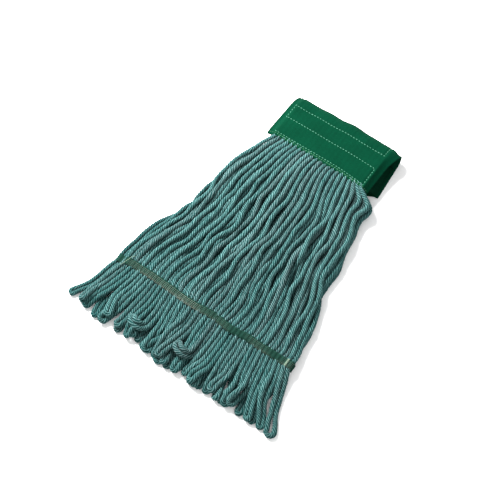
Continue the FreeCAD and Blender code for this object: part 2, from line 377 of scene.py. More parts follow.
def stitch_tree():
    """Lays short rounded stitches end to end along each line."""
    tree, given, result = new_group("Row of stitches", "GeometryNodeTree", {
        "Geometry": "Geometry", "Stitch": "Float", "Gap": "Float", "Width": "Float", "Height": "Float",
        "Seed": "Int", "Material": "Material",
    }, ("Geometry", "Geometry"))
    spaced = add(tree, "GeometryNodeResampleCurve", {"mode": "LENGTH"},
                 {"Curve": given["Geometry"], "Length": given["Stitch"]})
    ball = add(tree, "GeometryNodeMeshUVSphere", None, {"Segments": 8, "Rings": 6, "Radius": 0.5})
    smooth = add(tree, "GeometryNodeSetShadeSmooth", None, {"Geometry": ball.outputs["Mesh"]})
    length = maths(tree, "SUBTRACT", given["Stitch"], given["Gap"])
    jitter = add(tree, "FunctionNodeRandomValue", {"data_type": "FLOAT"},
                 {"Min": 0.86, "Max": 1.1, "Seed": given["Seed"]})
    size = add(tree, "ShaderNodeCombineXYZ", None,
               {"X": maths(tree, "MULTIPLY", length, jitter.outputs["Value"]),
                "Y": given["Width"], "Z": given["Height"]})
    tangent = add(tree, "GeometryNodeInputTangent")
    turned = add(tree, "FunctionNodeAlignRotationToVector", {"axis": "X"}, {"Vector": tangent.outputs[0]})
    placed = add(tree, "GeometryNodeInstanceOnPoints", None,
                 {"Points": spaced.outputs[0], "Instance": smooth.outputs[0],
                  "Rotation": turned.outputs[0], "Scale": size.outputs[0]})
    return end_tree(tree, placed.outputs[0], given, result)


def group_named(name, maker):
    return bpy.data.node_groups.get(name) or maker()


PLIES = 5
OUTLINE_POINTS = 15


def yarn_piece(name, paths, radii, material, seed, ring_step=None):
    """Plied yarn along the paths, as one plain mesh."""
    settings = bpy.context.scene.mop_yarn
    source = curves(name + "_line", paths, radii)
    apply_tree(source, group_named("Plied yarn", yarn_tree), {
        "Radius": settings.radius, "Twist": settings.pitch, "Ring step": ring_step or settings.ring_step,
        "Ply depth": settings.ply_depth, "Lumps": settings.lumps, "Plies": PLIES,
        "Outline points": OUTLINE_POINTS, "Seed": seed, "Material": material})
    return modelled(name, source)


def stitch_piece(name, paths, stitch, gap, width, height, material, seed=1):
    """Stitches along the paths, as one plain mesh. Sizes in millimetres."""
    source = curves(name + "_line", paths)
    apply_tree(source, group_named("Row of stitches", stitch_tree), {
        "Stitch": stitch * MM, "Gap": gap * MM, "Width": width * MM, "Height": height * MM, "Seed": seed,
        "Material": material})
    return modelled(name, source)


# ---------------------------------------------------------------- finishes

def weave_group():
    """Height and shade of a plain weave on a flat vector in metres."""
    tree, given, result = new_group("Plain weave", "ShaderNodeTree", {"Vector": "Vector", "Thread": "Float"},
                                    ("Height", "Float"))
    apart = add(tree, "ShaderNodeSeparateXYZ", None, {0: given["Vector"]})
    waves = []
    for axis in ("X", "Y"):
        count = maths(tree, "DIVIDE", apart.outputs[axis], given["Thread"])
        waves.append((maths(tree, "ABSOLUTE", maths(tree, "SINE", maths(tree, "MULTIPLY", count, math.pi))),
                      maths(tree, "FLOOR", count)))
    odd = maths(tree, "MODULO", maths(tree, "ABSOLUTE", maths(tree, "ADD", waves[0][1], waves[1][1])), 2.0)
    over = maths(tree, "MULTIPLY", waves[0][0], odd)
    under = maths(tree, "MULTIPLY", waves[1][0], maths(tree, "SUBTRACT", 1.0, odd))
    tree.links.new(maths(tree, "ADD", over, under), result["Height"])
    return tree


def mottle_group():
    """A soft factor round 1 that makes dye and wear uneven over the surface."""
    tree, given, result = new_group("Uneven dye", "ShaderNodeTree", {
        "Vector": "Vector", "Scale": "Float", "Amount": "Float"}, ("Factor", "Float"))
    centred = maths(tree, "SUBTRACT", noise(tree, given["Vector"], given["Scale"], 3.0, 0.55), 0.5)
    tree.links.new(maths(tree, "MULTIPLY_ADD", centred, given["Amount"], 1.0), result["Factor"])
    return tree


def uneven_dye(tree, place, scale, amount):
    return add(tree, "ShaderNodeGroup", {"node_tree": group_named("Uneven dye", mottle_group)},
               {"Vector": place, "Scale": scale, "Amount": amount}).outputs[0]


def mixed(tree, factor, first, second):
    """A colour between two, by a factor."""
    def colour(value):
        return value if isinstance(value, bpy.types.NodeSocket) else (*value, 1.0)
    node = add(tree, "ShaderNodeMix", {"data_type": "RGBA"}, {0: factor, 6: colour(first), 7: colour(second)})
    return node.outputs[2]


def scaled_colour(tree, colour, factor):
    return add(tree, "ShaderNodeVectorMath", {"operation": "SCALE"}, {0: colour, "Scale": factor}).outputs[0]


def new_finish(name):
    made = bpy.data.materials.new(name)
    made.use_nodes = True
    tree = made.node_tree
    shader = tree.nodes["Principled BSDF"]
    return made, tree, shader


def finish_inputs(tree, shader, colour, roughness, height, strength, distance):
    shader.inputs["Roughness"].default_value = roughness
    shader.inputs["Specular IOR Level"].default_value = 0.02
    tree.links.new(colour, shader.inputs["Base Color"])
    bump = add(tree, "ShaderNodeBump", None, {"Strength": strength, "Distance": distance, "Height": height})
    tree.links.new(bump.outputs[0], shader.inputs["Normal"])


def attribute(tree, name):
    return add(tree, "ShaderNodeAttribute", {"attribute_name": name}).outputs["Fac"]


def yarn_finish(name):
    """Soft matt yarn: painted shade in the grooves between the plies and low down in the pile, painted
    highlight specks for fibre tips, uneven dye along each strand, fine fibres.
    """
    colours = bpy.context.scene.mop_colours
    made, tree, shader = new_finish(name)
    where = add(tree, "ShaderNodeTexCoord").outputs["Object"]
    tone = attribute(tree, "tone")
    crest = attribute(tree, "crest")
    along = attribute(tree, "along")
    greyness = maths(tree, "POWER", maths(tree, "FRACT", maths(tree, "MULTIPLY", tone, 7.31)), 2.2)
    light = mixed(tree, greyness, tuple(colours.yarn), tuple(colours.yarn_grey))
    dye = uneven_dye(tree, where, 55.0, 0.45)
    unrolled = add(tree, "ShaderNodeCombineXYZ", None, {
        "X": maths(tree, "MULTIPLY", crest, 3.0), "Y": maths(tree, "MULTIPLY", along, 900.0), "Z": tone})
    fibres = noise(tree, unrolled.outputs[0], 1.6)
    fine = noise(tree, where, 3200.0)
    spun = noise(tree, where, 620.0)
    # Painted highlight: fine and spun noise make bright specks for fibre tips that catch the light; the per-ply
    # factor below is random tone between the plies
    fleck = maths(tree, "MULTIPLY", maths(tree, "MULTIPLY_ADD", fine, 0.5, 0.75),
                  maths(tree, "MULTIPLY_ADD", spun, 3.0, -0.5))
    ply = maths(tree, "FRACT", maths(tree, "MULTIPLY_ADD", attribute(tree, "ply"), 3.37,
                                     maths(tree, "MULTIPLY", tone, 11.3)))
    fleck = maths(tree, "MULTIPLY", fleck, maths(tree, "MULTIPLY_ADD", ply, 0.35, 0.82))
    # Painted shade: strands lower in the pile, nearer the floor, are made darker by their height, as if shaded
    # by the strands above
    high = add(tree, "ShaderNodeMapRange", None, {
        "Value": add(tree, "ShaderNodeSeparateXYZ", None, {0: where}).outputs["Z"], "From Min": 2 * MM,
        "From Max": 21 * MM, "To Min": 0.48, "To Max": 1.08})
    level = maths(tree, "MULTIPLY", maths(tree, "MULTIPLY_ADD", tone, 0.30, 0.80), dye)
    level = maths(tree, "MULTIPLY", level, high.outputs[0])
    # Painted shade: the crest raised to a power darkens the grooves between the plies; the mix runs from the
    # painted shade colour at a low level to the crest colour at a high one
    level = maths(tree, "MULTIPLY", maths(tree, "MULTIPLY", level, maths(tree, "POWER", crest, 2.7)), fleck)
    colour = mixed(tree, level, tuple(colours.yarn_painted_shade), light)
    finish_inputs(tree, shader, colour, 0.95, maths(tree, "ADD", fibres, fine), 0.55, 0.35 * MM)
    return made


def tape_finish(name, colour, thread):
    """Plain-woven tape with uneven dye and painted shade between its threads."""
    made, tree, shader = new_finish(name)
    cut = add(tree, "ShaderNodeUVMap", {"uv_map": "cut"}).outputs[0]
    weave = add(tree, "ShaderNodeGroup", {"node_tree": group_named("Plain weave", weave_group)},
                {"Vector": cut, "Thread": thread}).outputs[0]
    dye = uneven_dye(tree, cut, 38.0, 0.5)
    slub = uneven_dye(tree, cut, 420.0, 0.45)
    # Painted shade: the weave's height darkens the tape where the threads dip, in the gaps between them
    thread_shade = maths(tree, "MULTIPLY_ADD", weave, 0.45, 0.68)
    level = maths(tree, "MULTIPLY", maths(tree, "MULTIPLY", dye, slub), thread_shade)
    finish_inputs(tree, shader, scaled_colour(tree, tuple(colour), level), 0.82, weave, 0.35, 0.18 * MM)
    return made


def thread_finish(name, colour, other=None, scale=30.0):
    """Sewing thread, in one colour or wandering between two."""
    made, tree, shader = new_finish(name)
    where = add(tree, "ShaderNodeTexCoord").outputs["Object"]
    pick = maths(tree, "MULTIPLY_ADD", noise(tree, where, scale), 3.0, -1.0)
    base = mixed(tree, pick, tuple(colour), tuple(other or colour))
    fine = noise(tree, where, 2600.0, 1.0)
    level = maths(tree, "MULTIPLY_ADD", fine, 0.6, 0.7)
    finish_inputs(tree, shader, scaled_colour(tree, base, level), 0.6, fine, 0.3, 0.1 * MM)
    return made


def floor_finish(name):
    made, tree, shader = new_finish(name)
    dye = uneven_dye(tree, add(tree, "ShaderNodeTexCoord").outputs["Object"], 3.0, 0.01)
    finish_inputs(tree, shader, scaled_colour(tree, (0.93, 0.93, 0.93), dye), 0.9, dye, 0.0, 0.1 * MM)
    return made


def finish_named(name, maker, *values):
    return bpy.data.materials.get(name) or maker(name, *values)


# ---------------------------------------------------------------- headband

YARN_HALF = BAND_HALF - 8.0       # half width of the quilted yarn, inside the flat ends
QUILT_LEFT = 74.5                 # ends of the quilting rows, from the middle
QUILT_RIGHT = 65.5
QUILT_ROWS = (14.5, 36.5, 62.8)   # from the fold's face
HEM_ROW = 65.4
SEWN_WIDTH = 1.7                  # of the dent beside a row of quilting
SEWN_DEPTH = 0.75
HEM_WIDTH = 1.9
HEM_DEPTH = 1.1
SWELL = 6.4                       # how far the yarn pushes the fold out
RIGHT_DROP = (4.0, 4.0)           # of an end of the outer face: at the fold, and what the hem adds
LEFT_DROP = (3.0, 1.5)
BACK_DROP = 0.35                  # share of it on the back flap
CORNER_SAG = 3.5                  # of the front flap's lower right corner
END_PULLED_IN = 5.0               # the front flap's right end
BACK_END_OUT = 4.0                # the back flap's right end shows beyond it
BACK_END_UP = 8.5
LEFT_END_IN = 3.0
SELVEDGE = (2.2, 2.4)             # of the outer tape, beyond the frame's band at its left and right end
LIP = 1.6                         # how far the tape rolls on past the hem
END_GAP = 2.4                     # tape and lining together, beyond the yarn
LINING_THICKNESS = 0.9 * MM
LINING_ACROSS = np.linspace(-BAND_HALF + 0.4, BAND_HALF - 0.4, 81)


def strip_place(distance):
    """Where along the tape, from the fold's outermost line, a distance from the fold's face lies."""
    return FOLD_RADIUS * math.pi / 2 + distance - FOLD_RADIUS


def near(value, line, width):
    """1 on a line and a soft fall to 0 on both sides of it."""
    return np.exp(-((value - line) / width) ** 2)


def between(value, low, high):
    return step(value, low, low + 1) * step(-value, -high - 1, -high)


def stitched_dip(across, side_along):
    """How far the sewing draws the tape in, in millimetres."""
    right = step(-across, -QUILT_RIGHT - 1, -QUILT_RIGHT + 1)
    left = step(across, -QUILT_LEFT - 1, -QUILT_LEFT + 1)
    rows = [strip_place(row) for row in QUILT_ROWS]
    dip = sum(near(side_along, row, SEWN_WIDTH) for row in rows) * right * left
    dip += near(across, QUILT_RIGHT, SEWN_WIDTH) * step(-side_along, -rows[0], -rows[0] + 1) * 0.8
    dip += near(across, QUILT_RIGHT, SEWN_WIDTH) * between(side_along, rows[1], rows[2])
    dip += near(across, -QUILT_LEFT, SEWN_WIDTH) * between(side_along, rows[0], rows[1])
    return SEWN_DEPTH * dip + HEM_DEPTH * near(side_along, strip_place(HEM_ROW), HEM_WIDTH)


def end_drop(across, side_along, side):
    """How far the outer face comes in where the yarn ends, at the two ends of the headband."""
    depth = step(side_along, 0, strip_place(FOLD_RADIUS + FLAP_FLAT))
    right = step(across, YARN_HALF - 4, BAND_HALF + 6) * (RIGHT_DROP[0] + RIGHT_DROP[1] * depth)
    left = step(-across, YARN_HALF - 1, BAND_HALF) * (LEFT_DROP[0] + LEFT_DROP[1] * depth)
    return (right + left) if side == FRONT else BACK_DROP * (right + left) * (1 - depth)


def tape_surface(across, along):
    """The outer face of the headband, (x, y, z) for places across it and along it from the fold."""
    side_along = np.abs(along)
    bend_end = FOLD_RADIUS * math.pi / 2
    angle = np.clip(along, -bend_end, bend_end) / FOLD_RADIUS
    beyond = np.clip(side_along - bend_end, 0, None)
    front = along > 0
    puff = 0.30 * np.sin(across * 0.071 + 1.3) * np.sin(along * 0.11 + 0.4)
    puff += 0.35 * np.sin(across * 0.19 + along * 0.05) * near(side_along, 8, 16)
    puff += 0.07 * np.cos(across * 2 * math.pi / 6.9) * (1 - step(np.abs(across), YARN_HALF - 4, YARN_HALF))
    puff -= stitched_dip(across, side_along)
    lip = 1.5 * np.clip((side_along - strip_place(HEM_ROW)) / 2.4, 0, 1.6) ** 2
    drop = np.where(front, end_drop(across, side_along, FRONT), end_drop(across, side_along, BACK))
    radius = FOLD_RADIUS - drop - lip * np.where(front, 1.0, 0.3) + puff * front
    y = FOLD_Y + (radius + SWELL) * np.cos(angle) - beyond
    z = FOLD_Z + radius * np.sin(angle)
    wander = 0.9 * np.sin(across * 0.045 + 0.8) + 0.5 * np.sin(across * 0.13)
    y = y + wander * near(along, 6, 22)
    corner = step(across, 20, BAND_HALF) * step(along, 20, strip_place(HEM_ROW))
    y = y - CORNER_SAG * corner
    open_end = step(across, YARN_HALF - 8, BAND_HALF)
    x = BAND_MIDDLE + across - (2.0 * corner + END_PULLED_IN * step(along, 6, 34)) * open_end
    hemward = np.clip(side_along / strip_place(HEM_ROW), 0, 1)
    x = x + LEFT_END_IN * (1 - hemward + near(along, 0, 14)) * step(-across, YARN_HALF - 12, BAND_HALF)
    x = x + BACK_END_OUT * hemward * open_end * (along < 0)
    y = y + BACK_END_UP * hemward ** 1.5 * open_end * (along < 0)
    return np.stack([x, y, np.maximum(z, 0.02)], axis=-1)


def headband_tape(material):
    """The outer tape, from hem to hem over the fold."""
    across = np.linspace(-BAND_HALF - SELVEDGE[0], BAND_HALF + SELVEDGE[1], 131)
    reach = strip_place(FOLD_RADIUS + FLAP_FLAT) + LIP
    along = np.linspace(reach, -reach, 119)
    grid_along, grid_across = np.meshgrid(along, across, indexing="ij")
    points = tape_surface(grid_across, grid_along)
    flat = np.stack([grid_across, grid_along], axis=-1)
    return cloth("headband_tape", points, flat, bpy.context.scene.mop_band.thickness, material)


POCKET_AT_HEM = 0.5               # half the pocket's height there


def lining_surface(across, down, side):
    """The pocket side of one flap's lining. down is the distance from the bend of the fold."""
    share = down / FLAP_FLAT
    inner = POCKET_RADIUS - (POCKET_RADIUS - POCKET_AT_HEM) * share
    reach = strip_place(FOLD_RADIUS + down)
    outer_face = tape_surface(across, side * reach)
    open_end = step(np.abs(across), YARN_HALF - 5, BAND_HALF)
    z = FOLD_Z + side * inner
    z = z + open_end * (outer_face[..., 2] - side * END_GAP - z)
    return np.stack([outer_face[..., 0], outer_face[..., 1], z], axis=-1)


def lining_flap(name, side, material):
    down = np.linspace(0, FLAP_FLAT - 0.6, 30)
    grid_down, grid_across = np.meshgrid(down, LINING_ACROSS, indexing="ij")
    points = lining_surface(grid_across, grid_down, side)
    flat = np.stack([grid_across, grid_down], axis=-1)
    return cloth(name, points[::side], flat[::side], LINING_THICKNESS, material)


def lining_fold(material):
    turn = np.linspace(-math.pi / 2, math.pi / 2, 15)
    grid_turn, grid_across = np.meshgrid(turn, LINING_ACROSS, indexing="ij")
    top = lining_surface(grid_across, np.zeros_like(grid_across), FRONT)
    bottom = lining_surface(grid_across, np.zeros_like(grid_across), BACK)
    points = (top + bottom) / 2
    radius = (top[..., 2] - bottom[..., 2]) / 2
    points[..., 2] += radius * np.sin(grid_turn)
    points[..., 1] += np.minimum(radius, POCKET_RADIUS + 1.0) * np.cos(grid_turn)
    flat = np.stack([grid_across, grid_turn * POCKET_RADIUS], axis=-1)
    return cloth("lining_in_fold", points, flat, LINING_THICKNESS, material)


def stands_for(piece, slot, *nodes):
    """Hides the nodes of the frame that a piece takes the place of."""
    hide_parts(*nodes)


def across_fold(piece):
    """Bakes a piece's transform into its mesh."""
    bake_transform(piece)


def surface_line(places, lift):
    """A line on the outer tape through (across, along) places, lifted clear of it."""
    places = np.array(places, float)
    return tape_surface(places[:, 0], places[:, 1]) + outward(places) * lift


def outward(places):
    bend_end = FOLD_RADIUS * math.pi / 2
    angle = np.clip(places[:, 1], -bend_end, bend_end) / FOLD_RADIUS
    return np.stack([np.zeros(len(places)), np.cos(angle), np.sin(angle)], axis=-1)


def run_between(corners, spacing=1.5):
    """Places along straight runs between corners of the flat tape."""
    places = []
    for start, end in zip(corners[:-1], corners[1:]):
        start, end = np.array(start, float), np.array(end, float)
        count = max(2, int(np.linalg.norm(end - start) / spacing))
        places.extend(start + (end - start) * t for t in np.linspace(0, 1, count, endpoint=False))
    places.append(np.array(corners[-1], float))
    return places


def quilting_lines():
    """The one thread's way: three rows on a flap, over the fold, and three rows on the other."""
    first, second, third = (strip_place(row) for row in QUILT_ROWS)
    flap = [(-QUILT_LEFT + 2, third), (QUILT_RIGHT, third), (QUILT_RIGHT, second), (-QUILT_LEFT, second),
            (-QUILT_LEFT, first), (QUILT_RIGHT, first)]
    other = [(x, -along) for x, along in reversed(flap)]
    return run_between(flap + other)


class MOP_OT_headband(bpy.types.Operator):
    """Makes the headband: outer tape and lining, over the fold"""
    bl_idname = "mop.headband"
    bl_label = "Headband"

    def execute(self, context):
        colours = context.scene.mop_colours
        tape = finish_named("headband_weave", tape_finish, colours.tape, 0.55 * MM)
        # Painted shade: the lining is the tape's colour at half, a shaded copy of the tape for the inner faces
        # of the flaps
        painted_shade_tape = tuple(c * 0.5 for c in colours.tape)
        inside = finish_named("lining_weave", tape_finish, painted_shade_tape, 0.6 * MM)
        outer = headband_tape(tape)
        stands_for(outer, "headband_tape", "headband_outer_front", "headband_outer_fold", "headband_outer_back")
        across_fold(outer)
        for side, name in SIDES:
            flap = lining_flap("lining_of_" + name + "_flap", side, inside)
            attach(flap, name + "_band")
            stands_for(flap, "headband_lining", "headband_lining_" + name)
        fold = lining_fold(inside)
        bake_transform(fold)
        stands_for(fold, "headband_lining", "headband_lining_fold")
        return {"FINISHED"}


class MOP_OT_sewing(bpy.types.Operator):
    """Sews the headband: the quilting and the seam along each hem"""
    bl_idname = "mop.sewing"
    bl_label = "Headband sewing"

    def execute(self, context):
        colours = context.scene.mop_colours
        band = context.scene.mop_band
        pale = finish_named("quilting_cotton", thread_finish, colours.quilting)
        worn = tuple(2.4 * c for c in colours.hem)
        olive = finish_named("hem_cotton", thread_finish, colours.hem, worn)
        line = surface_line(quilting_lines(), 0.12)
        quilting = stitch_piece("quilting_stitches", [line], band.stitch / MM, 1.5, 0.6, 0.6, pale)
        stands_for(quilting, "quilting_thread", "quilting_thread_front", "quilting_thread_fold",
                   "quilting_thread_back")
        across_fold(quilting)
        for side, name in SIDES:
            row = strip_place(HEM_ROW) * side
            end = BAND_HALF - 1.2
            line = surface_line(run_between([(-end, row), (end, row)]), 0.15)
            seam = stitch_piece("hem_seam_of_" + name + "_flap", [line], 4.0, 1.0, 0.8, 0.7, olive, seed=4)
            stands_for(seam, "hem_thread", "hem_thread_" + name)
            across_fold(seam)
        return {"FINISHED"}


# ---------------------------------------------------------------- yarn

ROW_STEP = 4.6        # between the rows in which strands are laid, in the skirt
FRINGE_STEP = 4.0
CONTACT = 0.93        # share of the radius at which two strands touch
SQUEEZE_HEM = 0.88
SQUEEZE_TAPE = 0.86
FRINGE_REACH = 75.0   # tail band to loop ends, in the middle
PULLED_REACH = 78.0   # the one loop that is pulled out
CURL_RADIUS = 10.5    # of the loops whose ends roll over
CURLED_AT = (-54.0, 15.0)
CURL_LIFT = 5.5
BACK_FAN = 0.72       # the back half fans out less
HEM_PULL = 0.055      # share by which the yarn is drawn together at the hem
EDGE_SWELL = 1.6      # of the outermost strands, below the hem
STRAIGHTEN = 0.5      # how strongly, at each round of settling, a strand keeps its own waves,
KEEP_X = 0.045        # its place,
KEEP_Z = 0.004        # and its height,
SINK = 0.05           # comes down, in millimetres,
PUSH = 0.3            # and gives way where it touches another
LOOP_LENGTH = 80.0    # over which a loop's lean and bow are given
LEGS_APART = 3.1      # half the distance between a loop's legs near its end
STRAY_SHARE = 6       # one strand in so many climbs over a neighbour
FLAP_LAYERS = (9.3, 7.1)          # the two layers inside the headband, from the middle of the fold
FLAP_YARN = 0.7       # thickness there, as a share of a loose strand's


def tail_shift(across):
    """How far the back half's tail band lies to the left of the front half's."""
    return -3.5 - 9.0 * step(-across / TAIL_HALF_LENGTH, 0.3, 1)


class Lay:
    """The lay of all strands, row by row from the hem to the loop ends.
    x and z are [row, strand]; strands 2 k and 2 k + 1 of a half are the two legs of loop k."""

    def __init__(self, settings):
        self.random = np.random.default_rng(settings.seed)
        self.radius = settings.radius / MM
        skirt = np.linspace(HEM_Y + 1.0, TAIL_HIGH[1], int((HEM_Y - TAIL_HIGH[1]) / ROW_STEP))
        fringe = np.arange(TAIL_LOW[1], TAIL_LOW[1] - PULLED_REACH - 5, -FRINGE_STEP)
        self.y = np.concatenate([skirt, [TAIL_Y], fringe])
        self.tape_rows = np.array([len(skirt) - 1, len(skirt), len(skirt) + 1])
        self.settings = settings
        self.gather()

    def gather(self):
        """Puts each strand on its straight way, with its own waves."""
        hem, tail, side_of, slot_of = [], [], [], []
        for side, name in SIDES:
            outer_hem, outer_tail = strand_ends("outer_strands_" + name)
            inner_hem, inner_tail = strand_ends("inner_strands_" + name)
            for k in range(len(outer_hem)):
                hem += [outer_hem[k], inner_hem[k]]
                tail += [outer_tail[k], inner_tail[k]]
                side_of += [side, side]
                slot_of += [2 * k, 2 * k + 1]
        hem, tail = np.array(hem), np.array(tail)
        self.side, self.slot = np.array(side_of), np.array(slot_of)
        tail[:, 0] += np.where(self.side == BACK, tail_shift(tail[:, 0] - BAND_MIDDLE), 0.0)
        self.count = len(hem)
        self.half = self.count // 2
        y = self.y[:, None]
        share = np.clip((HEM_Y - y) / (HEM_Y - TAIL_HIGH[1]), 0, 1)
        squeeze = 0.3 * near(y, HEM_Y, 7.0)
        bulge = 1.2 * near(y, HEM_Y - 18, 12.0)
        x = hem[:, 0] + (tail[:, 0] - hem[:, 0]) * share
        z = hem[:, 1] + (tail[:, 1] - hem[:, 1]) * share - self.side * (squeeze - bulge)
        below = np.clip(TAIL_LOW[1] - y, 0, None)
        place = np.clip((tail[:, 0] - BAND_MIDDLE) / (TAIL_HIGH[0] - BAND_MIDDLE), -1, 1)
        turn = math.tan(self.settings.fan) * (0.35 * place + 0.65 * place ** 3)
        turn = (turn + 0.15 * near(place, -0.42, 0.26)) * np.where(self.side == BACK, BACK_FAN, 1.0)
        x = x + turn * below - HEM_PULL * (x - BAND_MIDDLE) * near(y, HEM_Y, 12.0)
        spread = (x - BAND_MIDDLE) / (tail[:, 0].max() - BAND_MIDDLE) / (0.56 + 0.44 * share)
        swell = step(share, 0, 0.14) * (1 - step(share, np.where(spread > 0, 0.45, 0.8), 1))
        x = x + EDGE_SWELL * np.sign(spread) * np.abs(spread) ** 3 * swell
        x = x + step(hem[:, 0], 50, 72) * (11.0 * near(y, HEM_Y - 20, 12.0) - 5.0 * near(y, HEM_Y, 10.0))
        self.want_x = x + self.waves(share, below) + self.drift(share, spread)
        self.want_z = z + self.lift(share, below)
        self.strays()
        self.ends(below, tail)
        radius = np.ones(len(self.y)) * self.radius
        radius *= 1 - (1 - SQUEEZE_HEM) * near(self.y, HEM_Y, 8.0)
        radius *= 1 - (1 - SQUEEZE_TAPE) * near(self.y, TAIL_Y, 7.5)
        self.row_radius = radius
        self.x, self.z = self.want_x.copy(), self.want_z.copy()

    def drift(self, share, spread):
        """The long bends in which the yarn lies: a slower one on the left, a quicker one on the right."""
        y = self.y[:, None]
        loose = np.sin(np.pi * share) ** 0.5
        left = 5.6 * np.sin(2 * np.pi * (y - 50) / 200) * step(-spread, -0.15, 0.25)
        right = 4.2 * np.sin(2 * np.pi * (y - 110) / 150) * step(spread, -0.15, 0.35)
        return -(left + right) * loose * np.where(self.side == FRONT, 1.0, 0.9)

    def strays(self):
        """Lets a few strands climb over a neighbour and back again."""
        random = self.random
        for strand in random.choice(self.count, self.count // STRAY_SHARE, replace=False):
            middle, width = random.uniform(TAIL_HIGH[1] + 45, HEM_Y - 55), random.uniform(20, 34)
            hop = near(self.y, middle, width)
            self.want_x[:, strand] += random.choice((-1, 1)) * 6.0 * hop
            self.want_z[:, strand] += 5.5 * hop

    def own_waves(self, parts, uneven):
        """Each strand's own waves, of about the given lengths and sizes. Uneven ones differ in height."""
        random = self.random
        own = np.zeros((len(self.y), self.count))
        for wave_length, size in parts:
            stretch = random.uniform(0.8, 1.25, self.count)
            phase = random.uniform(0, 2 * np.pi, self.count)
            height = random.uniform(0.3, 1.5, self.count) if uneven else 1.0
            own += size * height * np.sin(2 * np.pi * self.y[:, None] / (wave_length * stretch) + phase)
        return own

    def waves(self, share, below):
        """How far each strand lies beside its straight way, by bundle, strand and loop."""
        settings, random = self.settings, self.random
        y = self.y[:, None]
        loose = np.sin(np.pi * share) ** 0.5
        lower = 0.6 + 0.4 * step(share, 0.1, 0.6)
        place = self.slot / self.half
        shared = np.zeros((len(self.y), self.count))
        for wave_length, size in ((230.0, 1.0), (145.0, 1.0), (84.0, 0.55)):
            for side in (FRONT, BACK):
                phase, lean = random.uniform(0, 2 * np.pi), random.uniform(3, 7)
                wave = np.sin(2 * np.pi * y / wave_length + phase + lean * place)
                shared += (self.side == side) * size * wave
        own = self.own_waves(((88.0, 1.2), (55.0, 0.8), (34.0, 0.3)), True)
        skirt = loose * (settings.sway / MM * shared + settings.crimp / MM * lower * own)
        out = step(below, 4, 55)
        loop = np.arange(self.count) // 2
        edge = np.abs(2 * place - 1) ** 4
        lean = 3.8 * (1 - edge) * np.clip(random.normal(0, 1, self.count // 2), -2, 2)[loop]
        lean += 3.0 * (1 - edge) * np.sin(17 * place + self.side)
        bow = random.uniform(-1.0, 1.0, self.count // 2)[loop]
        down = below / LOOP_LENGTH
        fringe = out * (1.1 * own + lean * down + 3.2 * bow * np.sin(down * np.pi))
        return np.where(below > 0, fringe, skirt)

    def lift(self, share, below):
        """How far each strand lies above its straight way."""
        loose = np.sin(np.pi * share) ** 0.7
        own = self.own_waves(((90.0, 1.1), (52.0, 0.5)), False)
        loop = np.arange(self.count) // 2
        raised = self.random.choice((0.0, 3.0, 6.0), self.count // 2)[loop] * step(below, 10, 60)
        return np.where(below > 0, raised - 0.05 * below + 0.9 * own * step(below, 6, 40), loose * own)

    def ends(self, below, tail):
        """Ends each loop at its own row, brings its legs together there, and curls a few sideways."""
        random, loops, front_loops = self.random, self.count // 2, self.half // 2
        loop_x = tail.reshape(-1, 2, 2)[:, :, 0].mean(axis=1)
        spread = (loop_x - BAND_MIDDLE) / (TAIL_HIGH[0] - BAND_MIDDLE)
        reach = FRINGE_REACH - 6.0 * step(-spread, -0.05, 0.35)
        reach = reach + np.clip(random.normal(0, 2.2, loops), -5, 4)
        self.pulled = front_loops - 1
        reach -= 7.0 * step(spread, 0.82, 0.95)
        reach[front_loops] -= 5.0
        reach[-1] -= 22.0
        front_x = loop_x[:front_loops]
        self.curled = [int(np.argmin(np.abs(front_x - x))) for x in CURLED_AT]
        reach[self.curled] = FRINGE_REACH + 11.0
        reach[self.pulled] = PULLED_REACH
        fringe_rows = self.tape_rows[-1] + np.round(reach / FRINGE_STEP).astype(int)
        loop = np.arange(self.count) // 2
        self.last = np.minimum(fringe_rows, len(self.y) - 2)[loop]
        rows = np.arange(len(self.y))[:, None]
        self.live = rows <= self.last + 1
        pair = self.want_x.reshape(len(self.y), -1, 2)
        middle = pair.mean(axis=2, keepdims=True)
        close = step(below, 12, 60)[:, :, None]
        pair = pair * (1 - close) + (middle + np.array([-LEGS_APART, LEGS_APART])) * close
        pair[:, self.pulled] += 5.5 * step(below, 5, 70) + np.array([-2.6, 1.6]) * step(below, 54, 70)
        pair[:, front_loops] += 7.0 * step(below, 5, 60)
        pair[:, -1] -= 8.0 * step(below, 5, 50)
        curl = random.normal(0.3, 1.3, loops)
        curl[self.pulled] = 0
        curl[self.curled] = 0
        tip = step(below, (reach - 26)[None, :], (reach + 4)[None, :])
        pair = pair + 5.0 * curl[None, :, None] * tip[:, :, None]
        self.want_x = pair.reshape(len(self.y), self.count)

